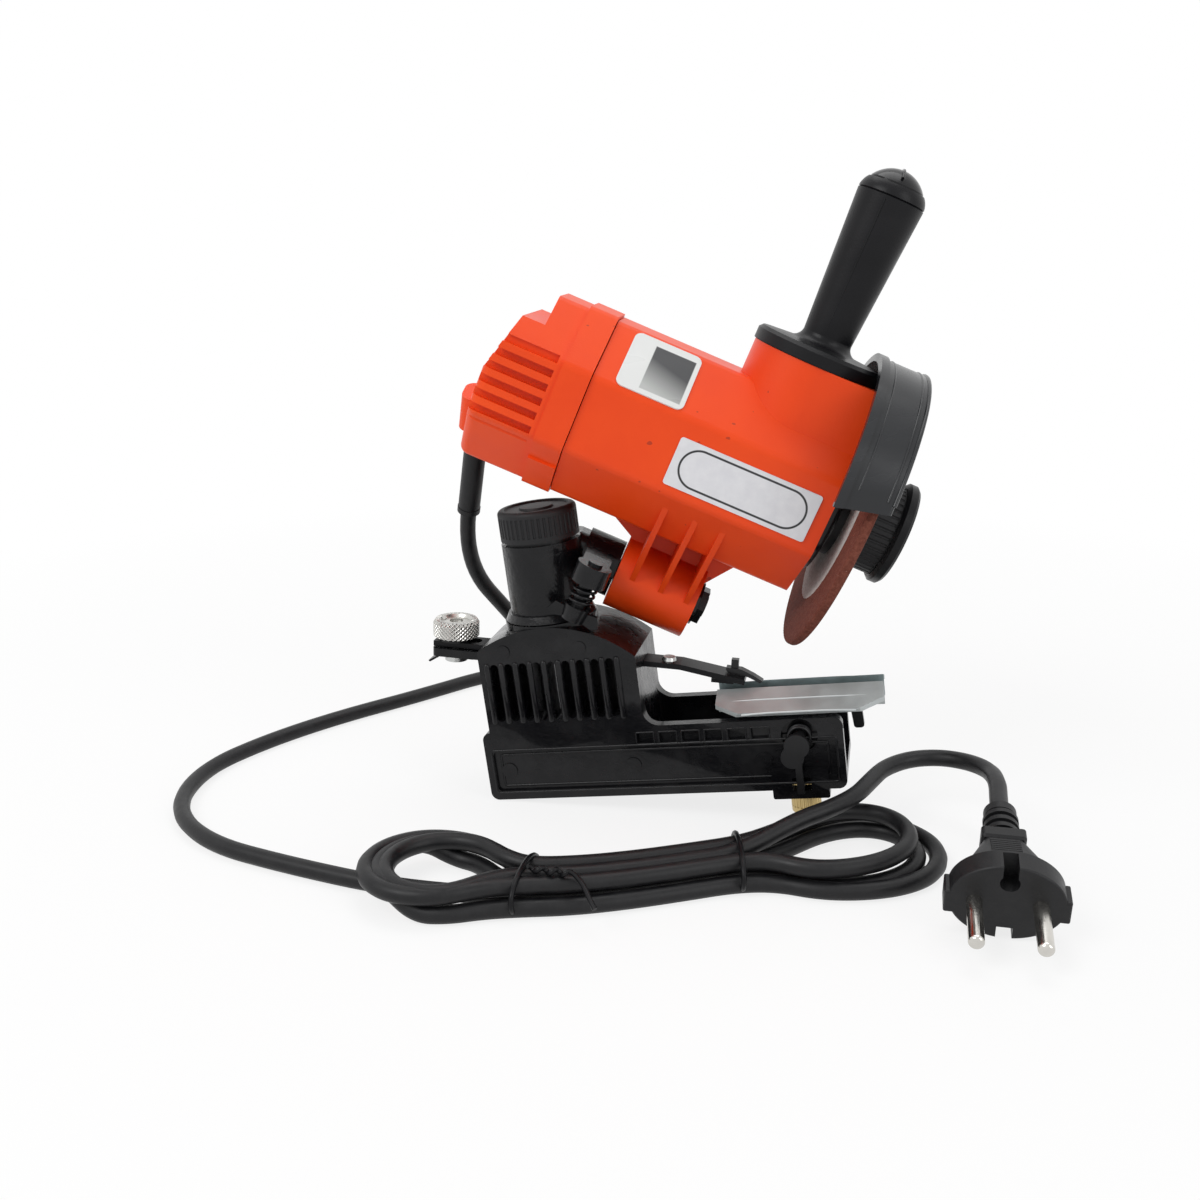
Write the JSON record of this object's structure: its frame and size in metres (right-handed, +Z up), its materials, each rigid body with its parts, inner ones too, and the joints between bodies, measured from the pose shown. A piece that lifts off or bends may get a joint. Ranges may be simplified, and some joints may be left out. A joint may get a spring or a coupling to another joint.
{
  "type": "chainsaw sharpener",
  "caption": "Bench grinder for saw chains: a cast base with a chain vice, a swivelling arm and a hinged motor head with a thin abrasive wheel.",
  "frame": {"origin": "on the table, under the middle of the tool's outline without its cord", "axes": "+Z up; +X from the swivel post towards the chain vice; +Y to the tool's far side"},
  "size_m": [0.3133, 0.2417, 0.2238],
  "materials": {
    "cast": "gloss black paint over rough casting",
    "orange": "satin moulded orange-red plastic",
    "zinc": "zinc plate, semi-bright",
    "steel": "machined steel",
    "yellow_zinc": "yellow passivated zinc",
    "black_plastic": "moulded black plastic",
    "grey_plastic": "moulded dark grey plastic",
    "abrasive": "bonded abrasive, brown-red",
    "copper": "enamelled copper",
    "carbon": "graphite",
    "label": "bare plate",
    "cord": "black cord sheath"
  },
  "bodies": {
    "base": {"base_casting": "cast", "post_spindle": "steel", "vice_block": "steel", "far_jaw": "zinc", "vice_bolt": "zinc", "clamp_screw": "zinc", "clamp_spring": "zinc", "clamp_link": "zinc", "stop_leaf": "black_plastic", "thumb_screw": "zinc", "thumb_washer": "black_plastic", "cord_tube": "cord", "cord_hank": "cord", "plug_body": "cord", "plug_pins": "zinc"},
    "arm": {"arm_casting": "cast", "post_washer": "black_plastic", "hinge_bolt": "steel", "hinge_washer": "black_plastic", "hinge_nut": "zinc", "depth_spring": "zinc"},
    "cap": {"post_cap": "black_plastic"},
    "depth": {"depth_screw": "zinc"},
    "head": {"front_housing": "orange", "motor_band": "orange", "rear_cap": "orange", "housing_screws": "zinc", "hinge_bushes": "steel", "return_spring": "zinc", "stator_core": "steel", "stator_coils": "copper", "carbon_brushes": "carbon", "rear_bearing": "steel", "front_bearing": "steel", "nose_plate": "black_plastic", "guard": "grey_plastic", "guard_bracket": "zinc", "guard_clip": "zinc", "handle": "black_plastic", "switch_body": "black_plastic", "rating_plate": "label", "name_plate": "label", "cord_boot": "cord"},
    "spindle": {"motor_shaft": "steel", "rotor_core": "steel", "rotor_windings": "copper", "commutator": "copper", "cooling_fan": "steel", "inner_flange": "steel", "grinding_wheel": "abrasive", "wheel_nut": "black_plastic", "nut_disc": "black_plastic"},
    "button": {"switch_button": "black_plastic"},
    "knob": {"vice_knob": "yellow_zinc"},
    "moving_jaw": {"near_jaw": "zinc"},
    "lever": {"clamp_lever": "steel"},
    "slide": {"stop_bar": "black_plastic", "stop_rivet": "zinc"},
    "pawl": {"stop_pawl": "zinc"},
    "nut": {"thumb_nut": "zinc"}
  },
  "joints": [
    {"name": "arm_swivel", "type": "hinge", "parent": "base", "child": "arm", "pos_m": [-0.0325, -0.0125, 0.00373], "axis": [-0.1332, 0, 0.9911], "range_deg": [-40, 35], "deforming": ["cord_tube"]},
    {"name": "cap_turn", "type": "hinge", "parent": "base", "child": "cap", "pos_m": [-0.04516, -0.0125, 0.09788], "axis": [-0.1332, 0, 0.9911], "continuous": true},
    {"name": "depth_turn", "type": "hinge", "parent": "arm", "child": "depth", "pos_m": [-0.0206, -0.03125, 0.09296], "axis": [0.3765, 0.0609, 0.9244], "continuous": true},
    {"name": "head_swing", "type": "hinge", "parent": "arm", "child": "head", "pos_m": [-0.00679, 0.00192, 0.07823], "axis": [0.9185, 0.1055, -0.381], "range_deg": [0, 18], "stiffness_Nm_per_rad": 0.9, "springref_deg": -34.38, "deforming": ["return_spring"]},
    {"name": "spindle_spin", "type": "hinge", "parent": "head", "child": "spindle", "pos_m": [0.0606, 0.00055, 0.10907], "axis": [0.9185, 0.1055, -0.381], "continuous": true},
    {"name": "button_press", "type": "slide", "parent": "head", "child": "button", "axis": [-0.3765, -0.0609, -0.9244], "range_m": [0, 0.003], "stiffness_N_per_m": 600, "springref_m": -0.001},
    {"name": "knob_turn", "type": "hinge", "parent": "base", "child": "knob", "pos_m": [0.0534, -0.0125, 0.01023], "axis": [-0.1332, 0, 0.9911], "continuous": true},
    {"name": "lever_turn", "type": "hinge", "parent": "base", "child": "lever", "pos_m": [0.05155, 0.0075, 0.03521], "axis": [0, 1, 0], "range_deg": [0, 90]},
    {"name": "jaw_close", "type": "slide", "parent": "base", "child": "moving_jaw", "axis": [0, 1, 0], "range_m": [0, 0.0036]},
    {"name": "stop_slide", "type": "slide", "parent": "base", "child": "slide", "axis": [0.9996, 0, -0.0287], "range_m": [-0.006, 0.0015]},
    {"name": "pawl_flip", "type": "hinge", "parent": "slide", "child": "pawl", "pos_m": [0.02456, -0.0125, 0.05242], "axis": [0, -1, 0], "range_deg": [0, 60]},
    {"name": "nut_turn", "type": "hinge", "parent": "base", "child": "nut", "pos_m": [-0.07822, -0.0125, 0.05789], "axis": [0.0287, 0, 0.9996], "continuous": true}
  ],
  "couplings": [
    {"joint": "lever_turn", "follows": "jaw_close", "rad_per_m": 436.33}
  ]
}
